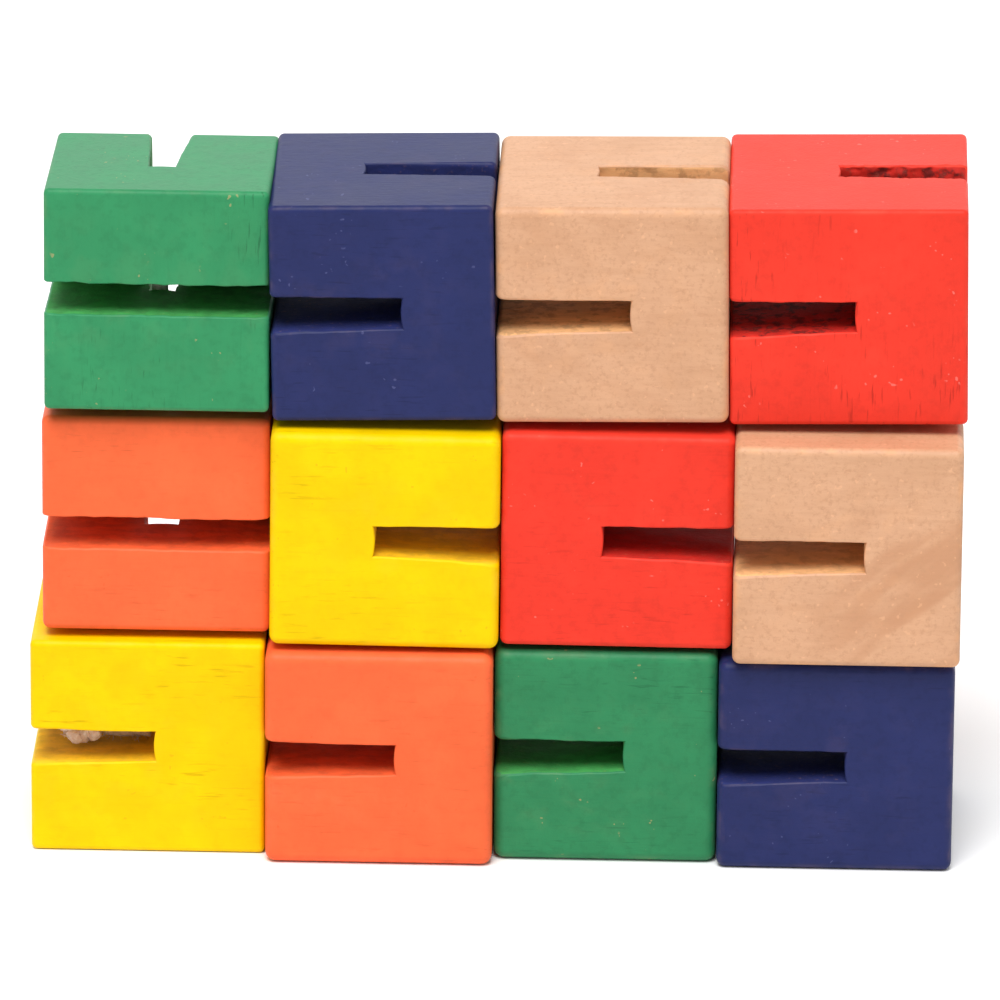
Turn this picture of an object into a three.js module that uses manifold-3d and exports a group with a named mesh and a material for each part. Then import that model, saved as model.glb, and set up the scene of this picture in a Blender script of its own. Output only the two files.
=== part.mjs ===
// Twisty snake puzzle: twelve slotted wooden blocks on one elastic cord, folded into a wall.
// Millimetres, +Z up. The origin is at the middle of the wall's base, and the wall's front faces -Y.
import * as THREE from "three";
import { RoundedBoxGeometry } from "three/addons/geometries/RoundedBoxGeometry.js";
import { mergeVertices } from "three/addons/utils/BufferGeometryUtils.js";
import Module from "manifold-3d";

const wasm = await Module();
wasm.setup();

// Driving dimensions.
const BLOCK = 20;
const EDGE_RADIUS = 0.6;
const EDGE_STEPS = 2;
const SLOT_WIDTH = 3;
const SLOT_DEPTH = 11.6;
const SHALLOW_DEPTH = 11.1;
const DEEP_DEPTH = 13.9;
const SLOT_RUN_OUT = 2;
const COLUMN_PITCH = 20.35;
const ROW_HEIGHT = [51.42, 30.48, 10];
const ROW_SHIFT = [0.2, 0.2, -0.4];
const CORD_RADIUS = 0.75;
const CORD_SIDES = 8;
const CORE_RADIUS = 0.9;
const PIECE_GAP = 0.3;
const BALL_SIDES = 10;
const BALL_RINGS = 6;
const KNOT_RADIUS = 1.3;
const WELD = 1e-4;

const FINISH = {
  red: { color: 0xe8281e, roughness: 0.42 },
  natural: { color: 0xdcae84, roughness: 0.6 },
  blue: { color: 0x24306c, roughness: 0.42 },
  green: { color: 0x1f8a55, roughness: 0.42 },
  orange: { color: 0xf55f33, roughness: 0.42 },
  yellow: { color: 0xffe100, roughness: 0.42 },
  cord: { color: 0xe9e4d8, roughness: 0.85 },
};

const X = new THREE.Vector3(1, 0, 0);
const Y = new THREE.Vector3(0, 1, 0);
const Z = new THREE.Vector3(0, 0, 1);
const LEFT = X.clone().negate();
const RIGHT = X;
const FRONT = Y.clone().negate();
const BACK = Y;

// A slot is cut from its open side towards the centre, in the plane across its normal.
const slot = (side, normal, depth) => ({ side, normal, depth });
const leftward = (depth) => [slot(LEFT, Z, depth), slot(RIGHT, Y, depth)];
const rightward = (depth) => [slot(RIGHT, Z, depth), slot(LEFT, Y, depth)];
const turning = (backDepth) => [slot(FRONT, Z, SLOT_DEPTH), slot(BACK, X, backDepth)];
const LEFTWARD = leftward(SLOT_DEPTH);
const RIGHTWARD = rightward(SLOT_DEPTH);
const SHORT_LEFT = leftward(SHALLOW_DEPTH);
const SHORT_RIGHT = rightward(SHALLOW_DEPTH);
const TURNING = turning(SLOT_DEPTH);
const DEEP_TURNING = turning(DEEP_DEPTH);

// The knots at the cord's two ends: where each lies from its block's centre, and how its tail runs on.
const KNOTS = {
  0: { name: "knot_start", at: new THREE.Vector3(6, 0, -0.5), tail: new THREE.Vector3(2.1, 0, -1.6) },
  11: { name: "knot_end", at: new THREE.Vector3(-6.4, -5, 0), tail: new THREE.Vector3(6.3, -0.3, -0.45) },
};

const BOTH = ["last", "next"];

// The blocks in their order along the cord. Each sits a little out of line, as hand-folded blocks do:
// back is its shift in depth in millimetres, and roll and pitch are its lean in degrees. swing names the
// halves of its cord that turn in their slots when the chain is folded, towards the next block or the last.
const BLOCKS = [
  { paint: "red", column: 3, row: 0, back: 1, roll: -1, slots: SHORT_LEFT, swing: ["next"] },
  { paint: "natural", column: 2, row: 0, back: 0.5, roll: -0.8, slots: LEFTWARD, swing: [] },
  { paint: "blue", column: 1, row: 0, back: 0.2, roll: -1.2, slots: LEFTWARD, swing: BOTH },
  { paint: "green", column: 0, row: 0, back: 0.5, pitch: -4, slots: TURNING, swing: ["last"] },
  { paint: "orange", column: 0, row: 1, back: 1.6, pitch: -1.5, slots: DEEP_TURNING, swing: ["next"] },
  { paint: "yellow", column: 1, row: 1, back: -1, roll: 0.4, slots: SHORT_RIGHT, swing: ["next"] },
  { paint: "red", column: 2, row: 1, back: 0, roll: 0.3, slots: RIGHTWARD, swing: ["next"] },
  { paint: "natural", column: 3, row: 1, back: -2.5, slots: LEFTWARD, swing: ["last"] },
  { paint: "blue", column: 3, row: 2, back: -1.5, slots: SHORT_LEFT, swing: ["next"] },
  { paint: "green", column: 2, row: 2, back: 0, slots: LEFTWARD, swing: ["next"] },
  { paint: "orange", column: 1, row: 2, back: -1.5, slots: LEFTWARD, swing: ["next"] },
  { paint: "yellow", column: 0, row: 2, back: 0.5, slots: SHORT_LEFT, swing: [] },
];

// The two blocks that end the upper rows: the cord comes to them along the row and leaves them downwards.
const CORNERS = [3, 7];

const label = (index) => String(index + 1).padStart(2, "0");

function centreOf({ column, row, back }) {
  const x = (column - 1.5) * COLUMN_PITCH + ROW_SHIFT[row];
  return new THREE.Vector3(x, back, ROW_HEIGHT[row]);
}

const CENTRES = BLOCKS.map(centreOf);

// The cord crosses from a block to the next in the middle of the gap between them. The next block's upright
// slot holds it level with that block's centre, except beside a corner block, which lets it run straight.
function crossing(index) {
  const point = CENTRES[index].clone().lerp(CENTRES[index + 1], 0.5);
  if (!CORNERS.includes(index) && !CORNERS.includes(index + 1)) {
    point.y = CENTRES[index + 1].y;
  }
  return point;
}

const CROSSINGS = BLOCKS.slice(1).map((_, index) => crossing(index));

function solidOf(geometry) {
  const bare = geometry.clone();
  bare.deleteAttribute("normal");
  bare.deleteAttribute("uv");
  const merged = mergeVertices(bare, WELD);
  const vertProperties = new Float32Array(merged.attributes.position.array);
  const triVerts = new Uint32Array(merged.index.array);
  return new wasm.Manifold(new wasm.Mesh({ numProp: 3, vertProperties, triVerts }));
}

function geometryOf(solid) {
  const { vertProperties, triVerts } = solid.getMesh();
  const geometry = new THREE.BufferGeometry();
  geometry.setAttribute("position", new THREE.BufferAttribute(vertProperties, 3));
  geometry.setIndex(new THREE.BufferAttribute(triVerts, 1));
  geometry.computeVertexNormals();
  return geometry;
}

function joined(geometries) {
  return geometryOf(geometries.map(solidOf).reduce((whole, solid) => whole.add(solid)));
}

function meshOf(name, geometry, finish) {
  const material = new THREE.MeshStandardMaterial({ ...FINISH[finish], metalness: 0 });
  const mesh = new THREE.Mesh(geometry, material);
  mesh.name = name;
  return mesh;
}

// One saw cut: a slab as thick as the saw's kerf, from beyond its open side to just past the block's centre.
function slotSolid({ side, normal, depth }) {
  const length = depth + SLOT_RUN_OUT;
  const across = BLOCK + 2 * SLOT_RUN_OUT;
  const size = (axis) => {
    if (side.dot(axis) !== 0) return length;
    return normal.dot(axis) !== 0 ? SLOT_WIDTH : across;
  };
  const slab = new THREE.BoxGeometry(size(X), size(Y), size(Z));
  const middle = side.clone().multiplyScalar(BLOCK / 2 + SLOT_RUN_OUT - length / 2);
  slab.translate(middle.x, middle.y, middle.z);
  return solidOf(slab);
}

function block(index) {
  const { paint, roll = 0, pitch = 0, slots } = BLOCKS[index];
  const cube = solidOf(new RoundedBoxGeometry(BLOCK, BLOCK, BLOCK, EDGE_STEPS, EDGE_RADIUS));
  const slotted = slots.reduce((solid, cut) => solid.subtract(slotSolid(cut)), cube);
  const mesh = meshOf(`block_${label(index)}_${paint}`, geometryOf(slotted), paint);
  mesh.position.copy(CENTRES[index]);
  mesh.rotation.set(THREE.MathUtils.degToRad(pitch), THREE.MathUtils.degToRad(roll), 0);
  return mesh;
}

function ball(centre, radius) {
  const geometry = new THREE.SphereGeometry(radius, BALL_SIDES, BALL_RINGS);
  geometry.translate(centre.x, centre.y, centre.z);
  return geometry;
}

// A straight stretch of cord between two points, short of each of them by the given amounts.
function strand(from, to, shortOfFrom, shortOfTo) {
  const direction = to.clone().sub(from).normalize();
  const start = from.clone().addScaledVector(direction, shortOfFrom);
  const end = to.clone().addScaledVector(direction, -shortOfTo);
  const geometry = new THREE.CylinderGeometry(CORD_RADIUS, CORD_RADIUS, start.distanceTo(end), CORD_SIDES);
  geometry.applyQuaternion(new THREE.Quaternion().setFromUnitVectors(Y, direction));
  const middle = start.lerp(end, 0.5);
  geometry.translate(middle.x, middle.y, middle.z);
  return geometry;
}

// Each half of a block's cord runs from the block's centre to a crossing. It stops short of the bead of cord
// that fills the crossing, or of the middle of the gap beside a corner, where no bead is needed.
function halvesOf(index) {
  const halves = [];
  if (index > 0) halves.push({ way: "last", crossing: index - 1 });
  if (index < BLOCKS.length - 1) halves.push({ way: "next", crossing: index });
  return halves;
}

const hasBead = (index) => !CORNERS.includes(index + 1);
const shortOfCrossing = (index) => (hasBead(index) ? CORE_RADIUS + PIECE_GAP : PIECE_GAP / 2);

function halfStrand(index, half, shortOfCentre) {
  return strand(CENTRES[index], CROSSINGS[half.crossing], shortOfCentre, shortOfCrossing(half.crossing));
}

// The fixed piece of cord at a block's centre, with the halves that stay still in their slots.
function cordCore(index) {
  const centre = CENTRES[index];
  const still = halvesOf(index).filter((half) => !BLOCKS[index].swing.includes(half.way));
  const strands = still.map((half) => halfStrand(index, half, 0));
  return meshOf(`cord_core_${label(index)}`, joined([ball(centre, CORE_RADIUS), ...strands]), "cord");
}

function swingingStrands(index) {
  const swinging = halvesOf(index).filter((half) => BLOCKS[index].swing.includes(half.way));
  return swinging.map((half) => {
    const geometry = halfStrand(index, half, CORE_RADIUS + PIECE_GAP);
    return meshOf(`cord_strand_${label(index)}_${half.way}`, geometry, "cord");
  });
}

function bead(index) {
  const name = `cord_bead_${label(index)}_${label(index + 1)}`;
  return meshOf(name, ball(CROSSINGS[index], CORE_RADIUS), "cord");
}

// A tied end: a lump of cord with its tail, in a slot that no other block uses, and the cord that leads to it.
function knot(index) {
  const { name, at, tail } = KNOTS[index];
  const centre = CENTRES[index].clone().add(at);
  const lead = strand(CENTRES[index], centre, CORE_RADIUS + PIECE_GAP, 0);
  const end = strand(centre, centre.clone().add(tail), 0, 0);
  return meshOf(name, joined([ball(centre, KNOT_RADIUS), lead, end]), "cord");
}

const puzzle = new THREE.Group();
BLOCKS.forEach((_, index) => {
  puzzle.add(block(index));
  puzzle.add(cordCore(index));
  swingingStrands(index).forEach((mesh) => puzzle.add(mesh));
});
CROSSINGS.forEach((_, index) => {
  if (hasBead(index)) puzzle.add(bead(index));
});
Object.keys(KNOTS).forEach((index) => puzzle.add(knot(Number(index))));

const bounds = new THREE.Box3().setFromObject(puzzle);
const middle = bounds.getCenter(new THREE.Vector3());
puzzle.position.set(-middle.x, -middle.y, -bounds.min.z);

export default puzzle;
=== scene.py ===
"""Twisty snake puzzle: twelve slotted wooden blocks on one elastic cord, folded into a wall.

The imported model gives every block's place and lean. This script makes the worn, painted blocks, the woven
elastic and its frayed knots around it. Lengths are in metres.
"""
import math

import bmesh
import bpy
from mathutils import Matrix, Vector, noise


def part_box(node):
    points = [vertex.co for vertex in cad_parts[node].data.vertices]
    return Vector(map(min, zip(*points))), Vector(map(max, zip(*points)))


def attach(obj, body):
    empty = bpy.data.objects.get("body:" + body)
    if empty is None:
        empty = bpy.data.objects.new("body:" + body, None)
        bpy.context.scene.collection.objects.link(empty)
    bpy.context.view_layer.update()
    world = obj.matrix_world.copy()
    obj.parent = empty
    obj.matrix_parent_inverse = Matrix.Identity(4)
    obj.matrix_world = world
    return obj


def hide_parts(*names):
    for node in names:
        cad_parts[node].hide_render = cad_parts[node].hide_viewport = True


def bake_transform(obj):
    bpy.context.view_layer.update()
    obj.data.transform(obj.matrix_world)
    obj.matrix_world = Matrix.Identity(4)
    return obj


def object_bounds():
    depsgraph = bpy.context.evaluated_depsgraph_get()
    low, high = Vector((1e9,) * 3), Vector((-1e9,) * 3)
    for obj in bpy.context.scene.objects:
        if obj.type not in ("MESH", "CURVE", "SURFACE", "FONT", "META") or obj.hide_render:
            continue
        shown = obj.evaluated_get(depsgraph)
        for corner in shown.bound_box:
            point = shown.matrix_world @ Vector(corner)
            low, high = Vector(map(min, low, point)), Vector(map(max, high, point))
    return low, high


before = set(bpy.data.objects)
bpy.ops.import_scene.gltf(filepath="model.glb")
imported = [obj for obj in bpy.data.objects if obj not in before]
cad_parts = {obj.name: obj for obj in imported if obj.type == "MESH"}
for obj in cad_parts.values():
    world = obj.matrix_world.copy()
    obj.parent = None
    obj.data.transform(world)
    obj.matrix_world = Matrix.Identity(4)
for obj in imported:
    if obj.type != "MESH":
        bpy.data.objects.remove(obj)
cad_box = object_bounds()

# The loose threads wander at random from this seed, so that they are the same each time.
noise.seed_set(1)

MM = 0.001
EDGE_SEGMENTS = 6
SLOT_WIDTH = 3.0 * MM
KERF_RIDGE = 0.15 * MM
# How round a slot's lips are where it ends, in millimetres, as in saw().
LIP_AT_END = 0.2
# How far into a slot the outside paint goes.
PAINTED_LIP = 0.2 * MM
WELD = 0.004 * MM
SHARP_TURN = math.radians(40)
LEAN_LIMIT = math.radians(12)
CORD_RADIUS = 0.75 * MM

X = Vector((1, 0, 0))
Y = Vector((0, 1, 0))
Z = Vector((0, 0, 1))

# A slot is (open side, normal of its plane).
LEFTWARD = ((-X, Z), (X, Y))
RIGHTWARD = ((X, Z), (-X, Y))
TURNING = ((-Y, Z), (Y, X))


def saw(depth, torn=1, wide=(2.8, 3.2), lean=(0.11, -0.11), lip=0.5):
    """One saw cut, in millimetres. torn is how rough its walls were left. wide and lean are its width and
    how far it strayed along its normal, at its end and at its opening. lip is how round its lips are there.
    """
    return {"depth": depth, "torn": torn, "wide": wide, "lean": lean, "lip": lip}


def made(paint, slots, cuts, grain="X", edge=0.7, size=(20.24, 20.24, 20), at=(0, 0, 0), streaks=0.4,
         tone=1.0):
    """How one block was made: the rounding of its edges, its size and how far it sits from its place, in
    millimetres, the way its fibres run, how dark its pores show through the paint, and how light its colour
    is."""
    return {"paint": paint, "slots": slots, "cuts": cuts, "grain": grain, "edge": edge * MM,
            "half": Vector(size) * MM / 2, "at": Vector(at) * MM, "streaks": streaks, "tone": tone}


# The blocks in their order along the cord.
BLOCKS = [
    made("red", LEFTWARD, (saw(11.15, 1.5), saw(11.3, 6)), grain="Z", edge=0.5,
         size=(20.9, 20.9, 20), at=(-0.2, 0.5, 0), streaks=0.8),
    made("natural", LEFTWARD, (saw(11.9), saw(11.6, 2.5)), edge=0.8,
         size=(20.38, 20.24, 20), at=(-0.53, 0, 0)),
    made("blue", LEFTWARD, (saw(11.6, 1.2), saw(11.6)), edge=0.55,
         size=(19.66, 20.24, 20), at=(-0.3, 0, 0)),
    made("green", TURNING,
         (saw(11.6, 2, (2.8, 2.84), (0.1, 0.1), 0.21), saw(11.2, 1, (2.3, 3.4), (0.05, 0.2))),
         grain="Z", edge=0.5, size=(19.77, 19.3, 20.1), at=(0.23, 0, -0.05), streaks=0.7, tone=1.09),
    made("orange", TURNING,
         (saw(11.6, 1.8, (2.86, 2.86), (-0.45, -0.8), 0.25), saw(13.9, 1, (3.1, 3.4))),
         size=(20.14, 20.04, 20), at=(0.05, 0, 0)),
    made("yellow", RIGHTWARD, (saw(11.1), saw(11.1)), edge=0.85),
    made("red", RIGHTWARD, (saw(11.6, 1.8), saw(11.6)),
         size=(20.48, 20.24, 20), at=(0.13, 0, 0), streaks=0.3),
    made("natural", LEFTWARD, (saw(11.6), saw(11.6, 1.4)),
         size=(20.06, 20.24, 20.5), at=(0.09, 0, -0.2)),
    made("blue", LEFTWARD, (saw(11.4), saw(11.1)), edge=0.8,
         size=(20.88, 20.24, 19.6), at=(-0.06, 0.5, -0.2)),
    made("green", LEFTWARD, (saw(11.6, 1.6), saw(11.6)), edge=1.0,
         size=(19.8, 20.24, 20), at=(-0.12, 0, 0), streaks=0.5, tone=0.91),
    made("orange", LEFTWARD, (saw(11.6, 1.4), saw(11.6)), edge=0.95,
         size=(20.17, 20.2, 20), at=(0.15, -0.2, 0), streaks=0.3),
    made("yellow", LEFTWARD, (saw(11.1), saw(11.1)), edge=0.5,
         size=(20.8, 20.24, 20), at=(-0.1, 0, 0), streaks=0.5),
]
COUNT = len(BLOCKS)


# ---------------------------------------------------------------- places, from the imported model

def block_node(number):
    return f"block_{number:02d}_{BLOCKS[number - 1]['paint']}"


def middle_of(node):
    """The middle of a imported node's box."""
    low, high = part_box(node)
    return (low + high) / 2


def facing(mesh, axis):
    """The mean normal of the faces that look along axis, which is the block's own axis."""
    total = Vector()
    for polygon in mesh.polygons:
        if polygon.normal.dot(axis) > math.cos(LEAN_LIMIT):
            total += polygon.normal * polygon.area
    return total.normalized()


def block_matrix(number):
    """A block's place and lean at rest."""
    node = block_node(number)
    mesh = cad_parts[node].data
    up = facing(mesh, Z)
    right = facing(mesh, X)
    back = up.cross(right).normalized()
    right = back.cross(up)
    turn = Matrix((right, back, up)).transposed()
    return Matrix.Translation(middle_of(node)) @ turn.to_4x4()


PLACES = {number: block_matrix(number) for number in range(1, COUNT + 1)}
CENTRES = {number: place.translation for number, place in PLACES.items()}


def crossing(number):
    """Where the cord crosses from a block to the next."""
    bead = f"cord_bead_{number:02d}_{number + 1:02d}"
    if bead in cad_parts:
        return middle_of(bead)
    return (CENTRES[number] + CENTRES[number + 1]) / 2


CROSSINGS = {number: crossing(number) for number in range(1, COUNT)}


# ---------------------------------------------------------------- camera, light and floor

CAMERA_AZIMUTH = 1.6
CAMERA_ELEVATION = 20.95
CAMERA_ROLL = 0.4
CAMERA_DISTANCE = 1.0
CAMERA_LENS = 405
TARGET = Vector((-0.0001, 0, 0.0306))

KEY_ELEVATION = 65
KEY_AZIMUTH = -10
KEY_BREADTH = 34
KEY_POWER = 3.2
SURROUND = 0.44
BACKDROP_POWER = 6.5
BACKDROP_SIZE = (1.8, 0.9)
BACKDROP_PLACE = Vector((0, 1.25, 0.6))


def add_camera():
    data = bpy.data.cameras.new("camera")
    data.lens = CAMERA_LENS
    data.sensor_width = 36
    data.clip_end = 20
    camera = bpy.data.objects.new("camera", data)
    bpy.context.scene.collection.objects.link(camera)
    turn = Matrix.Rotation(math.radians(CAMERA_AZIMUTH), 4, "Z")
    tilt = Matrix.Rotation(math.radians(90 - CAMERA_ELEVATION), 4, "X")
    roll = Matrix.Rotation(math.radians(CAMERA_ROLL), 4, "Z")
    back_off = Matrix.Translation((0, 0, CAMERA_DISTANCE))
    camera.matrix_world = Matrix.Translation(TARGET) @ turn @ tilt @ back_off @ roll
    bpy.context.scene.camera = camera


def add_key_light():
    """A broad soft light, high in front."""
    data = bpy.data.lights.new("key", "SUN")
    data.energy = KEY_POWER
    data.angle = math.radians(KEY_BREADTH)
    light = bpy.data.objects.new("key", data)
    light.rotation_euler = (math.radians(90 - KEY_ELEVATION), 0, math.radians(KEY_AZIMUTH))
    bpy.context.scene.collection.objects.link(light)


def add_backdrop():
    """The bright screen behind the puzzle, which the tops of the blocks reflect."""
    data = bpy.data.lights.new("backdrop", "AREA")
    data.shape = "RECTANGLE"
    data.size, data.size_y = BACKDROP_SIZE
    data.energy = BACKDROP_POWER
    light = bpy.data.objects.new("backdrop", data)
    light.location = BACKDROP_PLACE
    light.rotation_euler = (TARGET - BACKDROP_PLACE).to_track_quat("-Z", "Y").to_euler()
    bpy.context.scene.collection.objects.link(light)


def add_world():
    world = bpy.data.worlds.new("studio")
    bpy.context.scene.world = world
    world.use_nodes = True
    background = world.node_tree.nodes["Background"]
    background.inputs["Color"].default_value = (1, 0.995, 0.985, 1)
    background.inputs["Strength"].default_value = SURROUND


def add_floor():
    bpy.ops.mesh.primitive_plane_add(size=12, location=(0, 0, cad_box[0][2] - 0.02 * MM))
    floor = bpy.context.object
    floor.name = "floor"
    material = bpy.data.materials.new("floor")
    material.use_nodes = True
    shader = material.node_tree.nodes["Principled BSDF"]
    shader.inputs["Base Color"].default_value = (0.93, 0.93, 0.93, 1)
    shader.inputs["Roughness"].default_value = 0.7
    floor.data.materials.append(material)


add_camera()
add_world()
add_key_light()
add_backdrop()
add_floor()
bpy.context.scene.view_settings.view_transform = "Standard"


# ---------------------------------------------------------------- materials

class Nodes:
    """A short way to add and link shader nodes in one material. Noise scales are features in a metre."""

    def __init__(self, name):
        self.material = bpy.data.materials.new(name)
        self.material.use_nodes = True
        self.tree = self.material.node_tree
        self.shader = self.tree.nodes["Principled BSDF"]
        self.place = self.add("ShaderNodeTexCoord").outputs["Object"]

    def add(self, kind, inputs=(), **settings):
        node = self.tree.nodes.new(kind)
        for key, value in settings.items():
            setattr(node, key, value)
        for key, value in dict(inputs).items():
            self.feed(node.inputs[key], value)
        return node

    def feed(self, socket, value):
        if isinstance(value, bpy.types.NodeSocket):
            self.tree.links.new(value, socket)
        else:
            socket.default_value = value

    def noise(self, vector, scale, detail=2.0, roughness=0.5):
        inputs = {"Vector": vector, "Scale": scale, "Detail": detail, "Roughness": roughness}
        return self.add("ShaderNodeTexNoise", inputs).outputs["Fac"]

    def steps(self, value, low, high):
        """0 below low, 1 above high, and smooth between."""
        inputs = {"Value": value, "From Min": low, "From Max": high}
        return self.add("ShaderNodeMapRange", inputs, interpolation_type="SMOOTHSTEP").outputs["Result"]

    def share(self, value, low, high, most):
        """0 below low, most above high, and smooth between."""
        return self.math("MULTIPLY", self.steps(value, low, high), most)

    def math(self, operation, first, second):
        return self.add("ShaderNodeMath", {0: first, 1: second}, operation=operation).outputs[0]

    def mix(self, amount, first, second, blend="MIX"):
        node = self.tree.nodes.new("ShaderNodeMix")
        node.data_type = "RGBA"
        node.blend_type = blend
        self.feed(node.inputs[0], amount)
        self.feed(node.inputs[6], first)
        self.feed(node.inputs[7], second)
        return node.outputs[2]

    def grain_vector(self, way, seed, along, across):
        """Coordinates that are stretched along the grain, so that noise in them makes fibres."""
        scale = [across] * 3
        scale["XYZ".index(way)] = along
        shift = (seed * 3.7, seed * 1.3, seed * 2.1)
        inputs = {"Vector": self.place, "Scale": scale, "Location": shift}
        return self.add("ShaderNodeMapping", inputs).outputs["Vector"]

    def surface(self, base, rough_by, rough, height, strength, depth):
        """Feed the shader its colour, a roughness that varies between two values, and a fine relief."""
        self.feed(self.shader.inputs["Base Color"], base)
        inputs = {"Value": rough_by, "To Min": rough[0], "To Max": rough[1]}
        spread = self.add("ShaderNodeMapRange", inputs)
        self.feed(self.shader.inputs["Roughness"], spread.outputs["Result"])
        bump = self.add("ShaderNodeBump", {"Height": height, "Strength": strength, "Distance": depth})
        self.feed(self.shader.inputs["Normal"], bump.outputs["Normal"])
        return self.material


def colour(red, green, blue):
    return (red, green, blue, 1)


def shade(rgba, factor):
    return colour(*(min(1, channel * factor) for channel in rgba[:3]))


def between(first, second, share):
    return colour(*(a + (b - a) * share for a, b in zip(first[:3], second[:3])))


PAINT = {
    "red": colour(0.80, 0.044, 0.025),
    "blue": colour(0.0185, 0.0255, 0.107),
    "green": colour(0.031, 0.238, 0.095),
    "orange": colour(0.87, 0.138, 0.045),
    "yellow": colour(0.88, 0.575, 0.0),
}
GLOSS = {"red": 0.09, "blue": 0.15, "green": 0.15, "orange": 0.12, "yellow": 0.08}
MOTTLE = {"red": 0.3, "blue": 0.4, "green": 0.4, "orange": 0.22, "yellow": 0.16}
SPECK = {
    "red": colour(0.92, 0.26, 0.22),
    "blue": colour(0.11, 0.12, 0.28),
    "green": colour(0.5, 0.36, 0.16),
    "orange": colour(0.70, 0.08, 0.02),
    "yellow": colour(0.80, 0.36, 0.01),
}
# The walls of the slots: thin paint soaked into sawn wood, or bare sawn wood. The colours also hold painted
# shade and bounce light from inside a slot: more saturated than the outside, darker for red, orange and
# blue, lighter for green and bare wood.
SAWN_AND_SLOT_LIGHT = {
    "red": colour(0.62, 0.012, 0.003),
    "blue": colour(0.010, 0.018, 0.13),
    "green": colour(0.05, 0.34, 0.075),
    "orange": colour(0.84, 0.11, 0.022),
    "yellow": colour(0.88, 0.50, 0.0),
    "natural": colour(0.84, 0.46, 0.20),
}
WOOD_LIGHT = colour(0.635, 0.349, 0.200)
WOOD_DARK = colour(0.50, 0.255, 0.132)
WOOD_BAND = colour(0.50, 0.235, 0.115)
# The colour of the bare blocks' edges: worn wood with a painted highlight in it.
WOOD_WORN_AND_LIT = colour(0.84, 0.40, 0.17)

# The slanting bands of the two bare blocks: (slant, where along X they start, where they are full, how dark
# they are).
FIGURE = {2: (-0.6, 0, 0.001, 0.25), 8: (0.66, 0.026, 0.034, 0.75)}


def edge_wear_and_highlight(nodes):
    """The paler share of an edge, partly worn paint and partly a painted highlight: the mesh's own value for
    it, broken up into patches.
    """
    wear_and_highlight = nodes.add("ShaderNodeAttribute", attribute_name="wear_and_highlight").outputs["Fac"]
    patches = nodes.steps(nodes.noise(nodes.place, 420, 4), 0.46, 0.66)
    return nodes.math("MULTIPLY", wear_and_highlight, patches)


def streaked(nodes, under, base, way, seed, pores, dark):
    """A painted face with its open pores, which are short dark dashes, and faint fibres between them."""
    where = nodes.noise(nodes.grain_vector(way, seed + 9, 40, 130), 1.0, 1)
    fibres = nodes.noise(nodes.grain_vector(way, seed, 150, 2600), 1.0, 3, 0.6)
    dashes = nodes.math("MULTIPLY", nodes.steps(pores, 0.6, 0.74), nodes.steps(where, 0.42, 0.62))
    dashed = nodes.mix(nodes.math("MULTIPLY", dashes, dark), under, shade(base, 0.5))
    return nodes.mix(nodes.share(fibres, 0.55, 0.75, 0.2), dashed, shade(base, 0.74))


def specks(nodes, seed):
    """Where small specks lie, in sparse groups."""
    dots = nodes.steps(nodes.noise(nodes.place, 2600 + 11 * seed, 0), 0.755, 0.79)
    sparse = nodes.steps(nodes.noise(nodes.place, 330 + 9 * seed, 1), 0.6, 0.66)
    return nodes.math("MULTIPLY", nodes.math("MULTIPLY", dots, sparse), 0.45)


def painted_wood(name, paint, way, seed, how):
    """Thin paint on fine wood: blotches, mottling, pores and fibres, a few specks, and paler edges that are
    partly worn paint and partly a painted highlight.
    """
    nodes = Nodes(name)
    base = shade(PAINT[paint], how["tone"])
    blotch = nodes.noise(nodes.place, 150 + 7 * seed, 3)
    mottle = nodes.noise(nodes.place, 1100, 4, 0.65)
    pores = nodes.noise(nodes.grain_vector(way, seed + 5, 380, 3600), 1.0, 2, 0.5)
    blotched = nodes.mix(nodes.steps(blotch, 0.35, 0.7), shade(base, 0.95), shade(base, 1.06))
    mottled = nodes.mix(nodes.share(mottle, 0.45, 0.7, MOTTLE[paint]), blotched, shade(base, 0.72))
    grainy = streaked(nodes, mottled, base, way, seed, pores, how["streaks"])
    speckled = nodes.mix(specks(nodes, seed), grainy, SPECK[paint])
    # Paler patches on the rounded edges and lips: partly worn paint, partly a painted highlight.
    worn_and_lit = nodes.math("MULTIPLY", edge_wear_and_highlight(nodes), 0.16)
    finished = nodes.mix(worn_and_lit, speckled, between(shade(base, 1.3), WOOD_LIGHT, 0.35))
    nodes.shader.inputs["Specular IOR Level"].default_value = GLOSS[paint]
    height = nodes.math("ADD", nodes.math("MULTIPLY", pores, -0.5), nodes.math("MULTIPLY", mottle, 0.9))
    return nodes.surface(finished, blotch, (0.38, 0.52), height, 0.5, 0.08 * MM)


def slanting_bands(nodes, seed, figure):
    """How much of the darker bands shows at each place of a bare block."""
    slant, start, full, dark = figure
    turned = nodes.add("ShaderNodeMapping", {"Vector": nodes.place, "Rotation": (0, slant, 0)})
    inputs = {"Vector": turned.outputs["Vector"], "Scale": (55, 90, 290),
              "Location": (seed * 0.83, seed * 0.31, 0)}
    drawn = nodes.add("ShaderNodeMapping", inputs)
    bands = nodes.steps(nodes.noise(drawn.outputs["Vector"], 1.0, 3, 0.55), 0.46, 0.66)
    spot = nodes.add("ShaderNodeSeparateXYZ", {"Vector": nodes.place}).outputs["X"]
    return nodes.math("MULTIPLY", nodes.math("MULTIPLY", bands, nodes.steps(spot, start, full)), dark)


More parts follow.
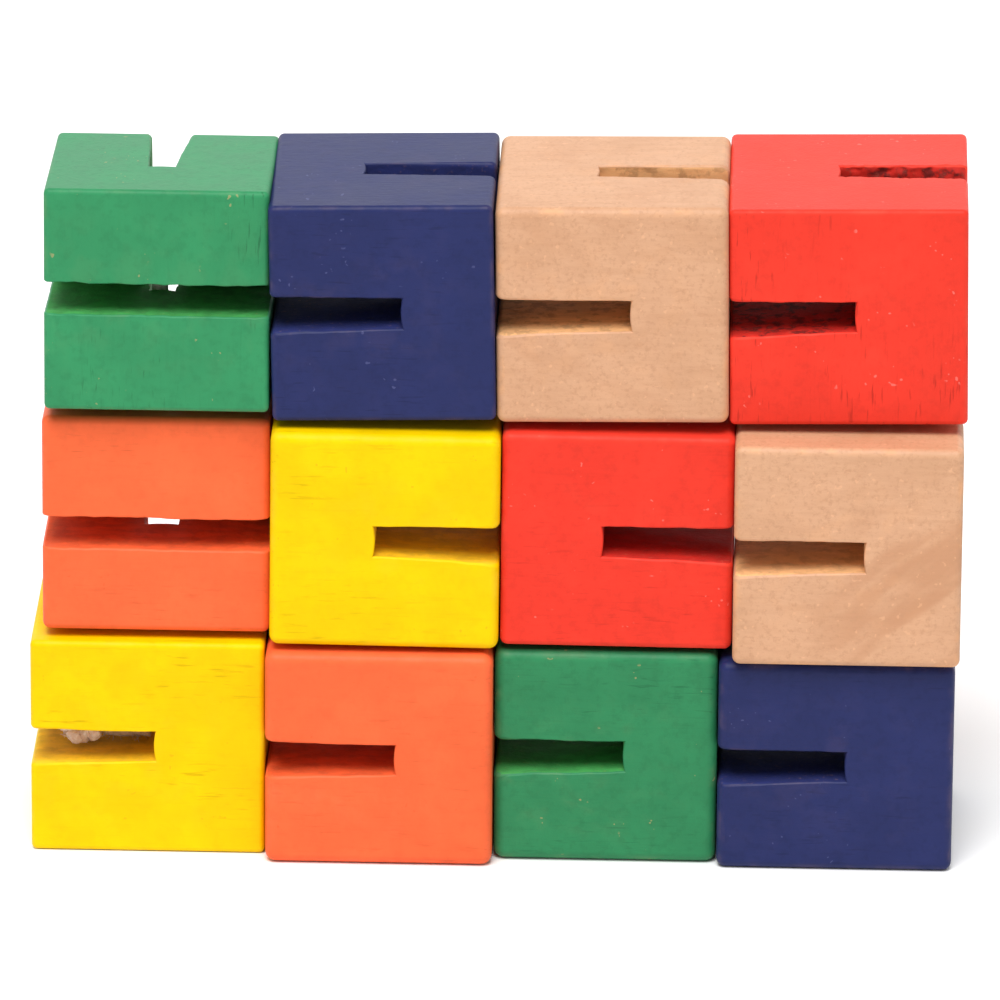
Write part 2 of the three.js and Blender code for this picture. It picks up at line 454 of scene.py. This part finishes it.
def bare_wood(name, way, seed, figure):
    """Bare wood: fine mottling, faint fibres along the grain, and darker bands that cross it at a slant."""
    nodes = Nodes(name)
    pores = nodes.noise(nodes.grain_vector(way, seed, 1500, 4200), 1.0, 2, 0.6)
    fibres = nodes.noise(nodes.grain_vector(way, seed + 3, 200, 1500), 1.0, 4, 0.65)
    fluff = nodes.noise(nodes.place, 2400, 4, 0.7)
    clouds = nodes.noise(nodes.place, 170, 3, 0.5)
    toned = nodes.mix(nodes.share(fibres, 0.4, 0.75, 0.35), WOOD_LIGHT, WOOD_DARK)
    clouded = nodes.mix(nodes.share(clouds, 0.45, 0.7, 0.3), toned, WOOD_DARK)
    figured = nodes.mix(slanting_bands(nodes, seed, figure), clouded, WOOD_BAND)
    mottled = nodes.mix(nodes.share(fluff, 0.48, 0.7, 0.65), figured, WOOD_DARK)
    dotted = nodes.mix(nodes.share(pores, 0.6, 0.75, 0.3), mottled, WOOD_BAND)
    flecks = nodes.share(nodes.noise(nodes.place, 1900, 1), 0.68, 0.76, 0.35)
    flecked = nodes.mix(flecks, dotted, shade(WOOD_LIGHT, 1.25))
    # Paler, more orange patches on the rounded edges: partly worn wood, partly a painted highlight.
    finished = nodes.mix(nodes.math("MULTIPLY", edge_wear_and_highlight(nodes), 0.5), flecked, WOOD_WORN_AND_LIT)
    nodes.shader.inputs["Specular IOR Level"].default_value = 0.45
    height = nodes.math("ADD", nodes.math("MULTIPLY", pores, -0.8), nodes.math("MULTIPLY", fluff, 0.8))
    return nodes.surface(finished, fibres, (0.48, 0.64), height, 0.45, 0.07 * MM)


def sawn_wood(name, paint, way, seed, torn):
    """The walls of a slot: thin paint soaked into rough sawn wood, or bare sawn wood, in colours that also
    hold the slot's painted shade and bounce light. Its hollows carry painted shade, darker the more the saw
    tore it."""
    nodes = Nodes(name)
    # The wall's colour, with the slot's painted shade and bounce light in it.
    base = SAWN_AND_SLOT_LIGHT[paint]
    fluff = nodes.noise(nodes.place, 1900, 5, 0.65)
    patches = nodes.noise(nodes.grain_vector(way, seed, 300, 900), 1.0, 3)
    torn_hollow_shade = nodes.noise(nodes.place, 950, 3, 0.6)
    soaked = nodes.mix(nodes.steps(patches, 0.35, 0.7), shade(base, 0.82), shade(base, 1.02))
    # Painted shade in the hollows of the torn wall, down to a fifth of the base colour, stronger the more
    # the saw tore it.
    dark = min(0.9, 0.15 * torn)
    hollow_shaded = nodes.mix(nodes.share(torn_hollow_shade, 0.48, 0.62, dark), soaked, shade(base, 0.2))
    raised = nodes.share(fluff, 0.56, 0.72, 0.3)
    finished = nodes.mix(raised, hollow_shaded, between(base, WOOD_LIGHT, 0.35))
    return nodes.surface(finished, fluff, (0.7, 0.9), fluff, 0.6, 0.12 * MM)


def woven_elastic(name, dark, light, grimy):
    """Fuzzy woven threads, grimy in patches."""
    nodes = Nodes(name)
    fuzz = nodes.noise(nodes.place, 2600, 4, 0.7)
    grime = nodes.noise(nodes.place, 240, 3)
    clean = nodes.mix(nodes.steps(fuzz, 0.35, 0.7), dark, light)
    finished = nodes.mix(nodes.steps(grime, 0.5, 0.8), clean, grimy)
    nodes.shader.inputs["Sheen Weight"].default_value = 0.3
    return nodes.surface(finished, fuzz, (0.75, 0.95), fuzz, 0.5, 0.05 * MM)


ELASTIC = woven_elastic("woven_elastic", dark=colour(0.58, 0.53, 0.46), light=colour(0.86, 0.82, 0.76),
                        grimy=colour(0.6, 0.5, 0.4))
FRAYED = woven_elastic("frayed_elastic", dark=colour(0.72, 0.54, 0.46), light=colour(0.95, 0.84, 0.79),
                       grimy=colour(0.8, 0.62, 0.52))
# The knot's tail, a darker brown: painted shade for the slot it lies in.
SHADED_TAIL = woven_elastic("shaded_tail_elastic", dark=colour(0.34, 0.24, 0.15), light=colour(0.62, 0.47, 0.33),
                      grimy=colour(0.4, 0.28, 0.18))


# ---------------------------------------------------------------- meshes

def link_mesh(name, mesh, materials):
    piece = bpy.data.objects.new(name, mesh)
    bpy.context.scene.collection.objects.link(piece)
    for material in materials:
        mesh.materials.append(material)
    return piece


def mesh_from(name, bm):
    mesh = bpy.data.meshes.new(name)
    bm.normal_update()
    bm.to_mesh(mesh)
    bm.free()
    return mesh


def skin(bm, rings):
    """Close a run of rings into a solid, with a face over each end."""
    for here, there in zip(rings, rings[1:]):
        for k in range(len(here)):
            n = (k + 1) % len(here)
            bm.faces.new((here[k], here[n], there[n], there[k]))
    bm.faces.new(list(reversed(rings[0])))
    bm.faces.new(rings[-1])


def outer_block(half, edge):
    """A block before it is sawn, with rounded edges."""
    bm = bmesh.new()
    bmesh.ops.create_cube(bm, size=2)
    bmesh.ops.scale(bm, vec=half, verts=bm.verts[:])
    bmesh.ops.bevel(bm, geom=bm.edges[:], offset=edge, offset_type="OFFSET", segments=EDGE_SEGMENTS,
                    profile=0.5, affect="EDGES")
    return bm


def depth_inside(point, half, edge):
    """How far a point is inside a block's rounded outside."""
    over = [abs(c) - limit + edge for c, limit in zip(point, half)]
    if max(over) <= 0:
        return edge - max(over)
    return edge - math.hypot(*(max(c, 0) for c in over))


# Places near a block's face, where a cut's lips are rounded, from inside the face to beyond it.
NEAR_FACE = [f * MM for f in (-0.67, -0.5, -0.36, -0.25, -0.18, -0.135, -0.1, -0.04, 0.08, 2.3)]
END_STEPS = 8
PLAIN_STEP = 0.65 * MM
TORN_STEP = 0.28 * MM


def spaced(start, end, step):
    count = max(2, round(abs(end - start) / step))
    return [start + (end - start) * i / count for i in range(count)]


def across_places(half, step):
    """Places across a block, close together near its two faces."""
    near = [half + f for f in NEAR_FACE]
    return [-f for f in reversed(near)] + spaced(-near[0], near[0], step)[1:] + near


def cut_profile(half, end, step):
    """The outline of one cut, as (distance towards the open side, place across the kerf from -1 to 1,
    whether it is in the cut's end). The saw's teeth leave a low ridge in the middle of the end."""
    near = [half + f for f in NEAR_FACE]
    reaches = list(reversed(near)) + spaced(near[0], end, step)[1:]
    lower = [(reach, -1, False) for reach in reaches]
    floor = []
    for i in range(END_STEPS + 1):
        t = 2 * i / END_STEPS - 1
        floor.append((end + KERF_RIDGE * (1 - abs(t) ** 1.8), t, True))
    upper = [(reach, 1, False) for reach, _, _ in reversed(lower)]
    return lower + floor + upper


def stray(point, seed, torn):
    """How far the saw strayed at a point of a slot's wall, and the fibres that it tore there."""
    place = point / MM
    drift = noise.noise(place * 0.16 + Vector((seed, 0, 0))) * 0.12
    chatter = noise.noise(place * 0.9 + Vector((0, seed, 0))) * 0.05
    fibres = noise.noise(place * 2.3 + Vector((0, 0, seed))) * 0.045 * (torn - 1)
    return (drift + chatter * min(torn, 2) + fibres) * MM


def rounded_lip(inside, radius):
    """How much a slot's wall rounds away at a depth inside the block."""
    if inside >= radius:
        return 0.0
    gone = radius - max(inside, 0)
    return radius - math.sqrt(radius * radius - gone * gone)


def grown(pair, share):
    """A value in millimetres that goes from pair's first to its second."""
    return (pair[0] + (pair[1] - pair[0]) * share) * MM


def cutter_point(how, index, astray_seed, place, reach, t, at_end):
    """One point of a cut's wall, from its place across the block, its reach towards the open side and its
    place t across the kerf, moved by the lip's rounding and by the saw's own straying."""
    side, normal = how["slots"][index]
    cut = how["cuts"][index]
    face = abs(how["half"].dot(side))
    end = face - cut["depth"] * MM
    share = max(0.0, min(1.0, (reach - end) / (face - end)))
    off = t * grown(cut["wide"], share) / 2 + grown(cut["lean"], share)
    point = side.cross(normal) * place + side * reach + normal * off
    radius = grown((LIP_AT_END, cut["lip"]), share * share)
    rounding = rounded_lip(depth_inside(point, how["half"], how["edge"]), radius)
    out = normal * t - (side if at_end else Vector())
    return point + out * rounding + normal * stray(point, astray_seed, cut["torn"])


def cutter(number, index):
    """A solid the shape of one saw cut, in the block's own frame."""
    how = BLOCKS[number - 1]
    side, normal = how["slots"][index]
    cut = how["cuts"][index]
    face = abs(how["half"].dot(side))
    step = TORN_STEP if cut["torn"] > 3 else PLAIN_STEP
    outline = cut_profile(face, face - cut["depth"] * MM, step)
    seed = number * 3.1 + index
    bm = bmesh.new()
    rings = []
    for place in across_places(abs(how["half"].dot(side.cross(normal))), step):
        ring = [cutter_point(how, index, seed, place, *spot) for spot in outline]
        rings.append([bm.verts.new(point) for point in ring])
    skin(bm, rings)
    bmesh.ops.recalc_face_normals(bm, faces=bm.faces[:])
    for wall in bm.faces:
        wall.material_index = 1
    return bm


def wear_and_highlight_of(vertex):
    """Where an edge's paler colour of worn paint and painted highlight goes: 1 on the round of an edge or
    lip, and 0 on a flat.
    """
    flatness = max(abs(c) for c in vertex.normal)
    return max(0.0, min(1.0, (1 - flatness) / 0.25))


def block_mesh(number, materials):
    """A block with its two slots sawn out."""
    how = BLOCKS[number - 1]
    whole = link_mesh("block", mesh_from("block", outer_block(how["half"], how["edge"])), materials)
    scratch = [whole]
    for index in range(2):
        blade = link_mesh("blade", mesh_from("blade", cutter(number, index)), materials)
        cut = whole.modifiers.new("cut", "BOOLEAN")
        cut.operation = "DIFFERENCE"
        cut.solver = "EXACT"
        cut.material_mode = "INDEX"
        cut.object = blade
        scratch.append(blade)
    bpy.context.view_layer.update()
    shaped = whole.evaluated_get(bpy.context.evaluated_depsgraph_get())
    bm = bmesh.new()
    bm.from_mesh(shaped.to_mesh())
    shaped.to_mesh_clear()
    for piece in scratch:
        bpy.data.objects.remove(piece)
    return bm


def finish_block(bm, half, edge):
    """Weld the cuts' seams, paint the lips like the outside, and mark the rounded edges that are paler, from
    wear and a painted highlight.
    """
    bmesh.ops.remove_doubles(bm, verts=bm.verts[:], dist=WELD)
    bm.normal_update()
    for face in bm.faces:
        if face.material_index == 1 and depth_inside(face.calc_center_median(), half, edge) < PAINTED_LIP:
            face.material_index = 0
    layer = bm.verts.layers.float.new("wear_and_highlight")
    for vertex in bm.verts:
        vertex[layer] = wear_and_highlight_of(vertex)


def add_block(number):
    how = BLOCKS[number - 1]
    paint = how["paint"]
    way = how["grain"]
    if paint == "natural":
        outside = bare_wood(f"wood_{number:02d}", way, number, FIGURE[number])
    else:
        outside = painted_wood(f"paint_{number:02d}", paint, way, number, how)
    inside = sawn_wood(f"sawn_{number:02d}", paint, way, number, how["cuts"][1]["torn"])
    bm = block_mesh(number, (outside, inside))
    finish_block(bm, how["half"], how["edge"])
    bm.transform(Matrix.Translation(how["at"]) @ PLACES[number])
    name = f"wood_block_{number:02d}"
    piece = link_mesh(name, mesh_from(name, bm), (outside, inside))
    piece.data.shade_smooth()
    piece.data.set_sharp_from_angle(angle=SHARP_TURN)
    weighted = piece.modifiers.new("flat_faces", "WEIGHTED_NORMAL")
    weighted.keep_sharp = True
    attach(piece, f"block_{number:02d}")
    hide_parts(block_node(number))


for number in range(1, COUNT + 1):
    add_block(number)


# ---------------------------------------------------------------- elastic

BRAID_SIDES = 20
BRAID_RING = 0.14 * MM
BRAID_PITCH = 2.2 * MM
BRAID_STARTS = 5
BRAID_HEIGHT = 0.07
BRAID_ON_BALL = 0.04
ROUND_SHARE = 0.07
PAST_CENTRE = 0.3 * MM
PAST_CROSSING = 0.8 * MM


def braid(angle, travelled):
    """How far the braid stands out at a place on the cord, up to 1: two families of strands that cross."""
    turn = 2 * math.pi * travelled / BRAID_PITCH
    left = math.sin(BRAID_STARTS * angle + turn * 2)
    right = math.sin(BRAID_STARTS * angle - turn * 2)
    return max(left, right)


def cord_rings(bm, points, radius):
    """A woven tube along a path, with its ends closed and rounded off."""
    rings = []
    travelled = 0.0
    for index, point in enumerate(points):
        before = points[max(index - 1, 0)]
        after = points[min(index + 1, len(points) - 1)]
        forward = (after - before).normalized()
        helper = Z if abs(forward.z) < 0.9 else X
        side = forward.cross(helper).normalized()
        up = side.cross(forward)
        travelled += (point - before).length
        girth = radius(index / (len(points) - 1))
        ring = []
        for k in range(BRAID_SIDES):
            angle = 2 * math.pi * k / BRAID_SIDES
            reach = girth * (1 - BRAID_HEIGHT + BRAID_HEIGHT * braid(angle, travelled))
            ring.append(bm.verts.new(point + (side * math.cos(angle) + up * math.sin(angle)) * reach))
        rings.append(ring)
    skin(bm, rings)


def straight(start, end):
    """Points along a straight stretch, a braid ring apart."""
    count = max(4, int((end - start).length / BRAID_RING))
    return [start.lerp(end, i / count) for i in range(count + 1)]


def rounded_ends(t):
    """The cord's radius along a stretch, which closes to a point over its two ends."""
    edge = min(t, 1 - t) / ROUND_SHARE
    if edge >= 1:
        return CORD_RADIUS
    return CORD_RADIUS * max(0.12, math.sqrt(1 - (1 - edge) ** 2))


def finish_elastic(name, bm, body, nodes, materials=(ELASTIC,)):
    bmesh.ops.recalc_face_normals(bm, faces=bm.faces[:])
    piece = link_mesh(name, mesh_from(name, bm), materials)
    piece.data.shade_smooth()
    if body:
        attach(piece, body)
    if nodes:
        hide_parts(*nodes)
    return piece


def add_strand(name, start, end, body, nodes):
    """A half of the cord in a block, from the block's centre to a little past the crossing."""
    bm = bmesh.new()
    forward = (end - start).normalized()
    cord_rings(bm, straight(start - forward * PAST_CENTRE, end + forward * PAST_CROSSING), rounded_ends)
    return finish_elastic(name, bm, body, nodes)


def add_ball(name, centre, body, nodes):
    """The turn of the cord at a block's centre or at a crossing, where two straight stretches meet."""
    bm = bmesh.new()
    bmesh.ops.create_uvsphere(bm, u_segments=24, v_segments=16, radius=CORD_RADIUS * 0.98)
    for vertex in bm.verts:
        spot = vertex.co.normalized()
        weave = braid(math.atan2(spot.y, spot.x), vertex.co.z)
        vertex.co *= 1 + BRAID_ON_BALL * weave
    bm.transform(Matrix.Translation(centre))
    return finish_elastic(name, bm, body, nodes)


# The blocks that hold the cord's two tied ends. Each knot is (node, its place from the block's centre, how
# its tail runs on from there, and the normal of the slot it lies in).
KNOTS = {
    1: ("knot_start", Vector((6, 0, -0.5)) * MM, Vector((2.1, 0, -1.6)) * MM, Y),
    12: ("knot_end", Vector((-6.4, -5.5, -0.1)) * MM, Vector((6.4, 0.1, -0.35)) * MM, Z),
}

# The upright stretches below a corner block, which on the real puzzle lengthen when it is pulled up off the
# block beneath it. Here their strands are left fixed in place, on no body.
STRETCHING = {(9, 8): "crossing_08_09", (5, 4): "crossing_04_05"}


def middle_of_knot(number):
    return CENTRES[number] + KNOTS[number][1]


def add_cord_in_block(number):
    """The cord's turn at a block's centre, and its halves towards the blocks before and after."""
    core = f"cord_core_{number:02d}"
    body = f"block_{number:02d}"
    centre = CENTRES[number]
    add_ball(f"elastic_turn_{number:02d}", centre, body, [core])
    if number in KNOTS:
        add_strand(f"elastic_{number:02d}_tied", centre, middle_of_knot(number), body, [])
    for way, at in (("last", number - 1), ("next", number)):
        if at not in CROSSINGS:
            continue
        node = f"cord_strand_{number:02d}_{way}"
        name = f"elastic_{number:02d}_{way}"
        end = CROSSINGS[at]
        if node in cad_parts:
            add_strand(name, centre, end, f"cord_{number:02d}_{way}", [node])
        elif (number, at) in STRETCHING:
            piece = add_strand(name, centre, end, None, [])
            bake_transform(piece)
        else:
            add_strand(name, centre, end, body, [])


for number in range(1, COUNT + 1):
    add_cord_in_block(number)
for number, place in CROSSINGS.items():
    bead = f"cord_bead_{number:02d}_{number + 1:02d}"
    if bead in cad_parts:
        add_ball(f"elastic_crossing_{number:02d}", place, f"crossing_{number:02d}_{number + 1:02d}", [bead])


# ---------------------------------------------------------------- knots

# The lumps of a knot, as (place along X, place along the slot's other direction, place across the slot,
# radius), in millimetres.
LUMPS = ((0, 0, 0, 1.2), (1.25, -0.35, -0.25, 0.72), (-1.2, -0.2, 0.35, 0.7), (-0.35, -0.7, -0.45, 0.75))
KNOT_FIBRES = 150
TAIL_FIBRES = 90
TAIL_RADIUS = 0.5 * MM
FIBRE_RADIUS = 0.05 * MM
FIBRE_STEPS = 6
FIBRE_CORNERS = (0, 2.1, 4.2)
TAIL_STEPS = 30
TAIL_WANDER = 0.22 * MM
KNOT_RADIUS = 0.95 * MM
KNOT_STRETCH = 1.5
KNOT_LIMIT = SLOT_WIDTH / 2 - 0.12 * MM
UNPRESSED = 0.6
GOLDEN_TURN = math.pi * (3 - math.sqrt(5))


def fibre(bm, start, heading, length, seed):
    """One loose thread: a thin three-sided sliver that wanders as it goes."""
    point = start.copy()
    rings = []
    for i in range(FIBRE_STEPS + 1):
        girth = FIBRE_RADIUS * (1 - 0.7 * i / FIBRE_STEPS)
        side = heading.orthogonal().normalized()
        up = heading.cross(side).normalized()
        corners = [side * math.cos(angle) + up * math.sin(angle) for angle in FIBRE_CORNERS]
        rings.append([bm.verts.new(point + corner * girth) for corner in corners])
        drift = noise.noise_vector(point / MM * 1.1 + Vector((seed, seed * 0.7, 0)))
        heading = (heading + drift * 1.3).normalized()
        point = point + heading * length / FIBRE_STEPS
    skin(bm, rings)


def spread(index, count):
    """The direction of one of count fibres that stand out evenly all round."""
    rise = 1 - 2 * (index + 0.5) / count
    around = math.sqrt(1 - rise * rise)
    angle = index * GOLDEN_TURN
    return Vector((math.cos(angle) * around, math.sin(angle) * around, rise))


def uneven(number):
    """A fixed value from 0 to 1 that changes from one whole number to the next."""
    return 0.5 + 0.5 * noise.noise(Vector((number * 0.37, number * 0.11, 0)))


def add_lump(bm, centre, radius, seed):
    """One turn of the knotted cord, as a lump with a crumpled skin."""
    lump = bmesh.ops.create_icosphere(bm, subdivisions=4, radius=radius)
    for vertex in lump["verts"]:
        spot = vertex.co / MM + Vector((seed, seed * 0.3, 0))
        swell = noise.noise(spot * 1.2) * 0.3 + noise.noise(spot * 3.1) * 0.16 + noise.noise(spot * 8) * 0.08
        vertex.co = centre + vertex.co * (1 + swell)


def add_knot_lumps(bm, centre, across):
    """A knot's lumps and the loose threads that stand out all round it."""
    inward = across.cross(X)
    for index, (sideways, deep, up, radius) in enumerate(LUMPS):
        place = centre + (X * sideways + inward * deep + across * up) * MM
        add_lump(bm, place, radius * MM, index * 2.3)
    for i in range(KNOT_FIBRES):
        heading = spread(i, KNOT_FIBRES)
        start = centre + Vector((heading.x * KNOT_STRETCH, heading.y, heading.z)) * KNOT_RADIUS
        fibre(bm, start, heading, (0.45 + 0.5 * uneven(i)) * MM, i * 0.61)


def add_tail(bm, start, run):
    """The frayed tail: a bundle of threads that runs on from the knot."""
    path = []
    for i in range(TAIL_STEPS + 1):
        t = i / TAIL_STEPS
        wander = noise.noise_vector(Vector((t * 3, start.x / MM, 0))) * TAIL_WANDER
        path.append(start + run * t + wander * min(1, 4 * t))
    cord_rings(bm, path, lambda t: TAIL_RADIUS * (1 - 0.35 * t * t))
    for i in range(TAIL_FIBRES):
        place = path[int(TAIL_STEPS * (0.15 + 0.8 * i / TAIL_FIBRES))]
        heading = (spread((i * 37) % TAIL_FIBRES, TAIL_FIBRES) + run.normalized() * 0.5).normalized()
        length = (0.5 + 0.7 * uneven(i + 400)) * MM
        fibre(bm, place + heading * TAIL_RADIUS * 0.5, heading, length, i * 0.47)


def press_flat(bm, centre, across):
    """Keep a knot inside its slot: whatever would stand out past the walls is pressed back."""
    for vertex in bm.verts:
        off = (vertex.co - centre).dot(across)
        if abs(off) > KNOT_LIMIT * UNPRESSED:
            past = (abs(off) / KNOT_LIMIT - UNPRESSED) / (1 - UNPRESSED)
            kept = KNOT_LIMIT * (UNPRESSED + (1 - UNPRESSED) * math.tanh(past))
            vertex.co += across * (math.copysign(kept, off) - off)


def add_knot(number):
    """A tied end of the cord: the knot in one colour and its tail in a darker one, painted shade for the
    slot that it lies in.
    """
    node, _, run, across = KNOTS[number]
    centre = middle_of_knot(number)
    bm = bmesh.new()
    add_knot_lumps(bm, centre, across)
    lump_faces = len(bm.faces)
    add_tail(bm, centre, run)
    bm.faces.ensure_lookup_table()
    # The tail's faces take the second, darker material: painted shade of its slot.
    for face in bm.faces[lump_faces:]:
        face.material_index = 1
    press_flat(bm, centre - across * (centre - CENTRES[number]).dot(across), across)
    finish_elastic(f"frayed_{node}", bm, f"block_{number:02d}", [node], (FRAYED, SHADED_TAIL))


for number in KNOTS:
    add_knot(number)
